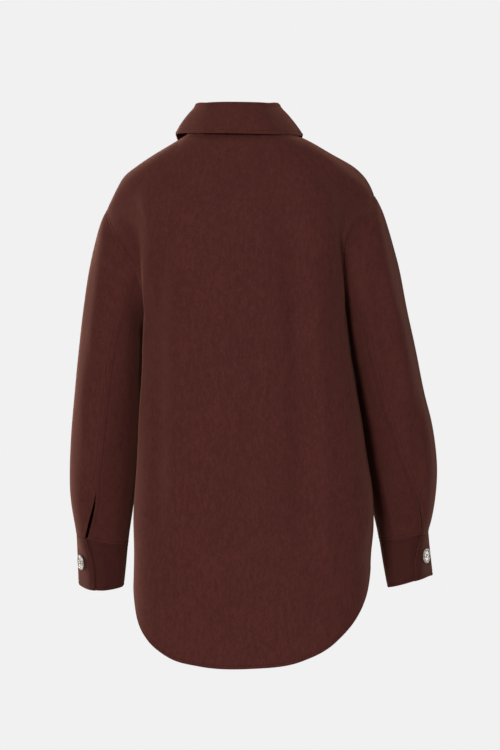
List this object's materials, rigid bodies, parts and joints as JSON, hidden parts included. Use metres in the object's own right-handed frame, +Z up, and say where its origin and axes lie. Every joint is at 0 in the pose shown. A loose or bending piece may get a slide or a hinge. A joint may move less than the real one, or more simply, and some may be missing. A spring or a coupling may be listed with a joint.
{
  "type": "shacket",
  "caption": "Long-sleeved wool shirt jacket with a pointed collar, buttoned cuffs and front, and a curved tail, in its worn shape with nobody in it.",
  "frame": {"origin": "middle of the neck base, where the wearer's neck and shoulders carry the coat", "axes": "+Z up along the wearer's neck; the wearer faces -Y; the wearer's left is +X"},
  "size_m": [0.5565, 0.2706, 0.8464],
  "materials": {
    "wool": "brushed double-faced wool, burgundy brown",
    "horn": "polished, marbled grey and white"
  },
  "bodies": {
    "root": {"back": "wool", "front_left": "wool", "front_right": "wool", "top_sleeve_left": "wool", "top_sleeve_right": "wool", "under_sleeve_left": "wool", "under_sleeve_right": "wool", "cuff_left": "wool", "cuff_right": "wool", "collar_band": "wool", "collar_fall": "wool", "front_button_1": "horn", "front_button_2": "horn", "front_button_3": "horn", "front_button_4": "horn", "front_button_5": "horn", "front_button_6": "horn", "band_button": "horn", "cuff_button_left": "horn", "cuff_button_right": "horn"}
  },
  "joints": []
}
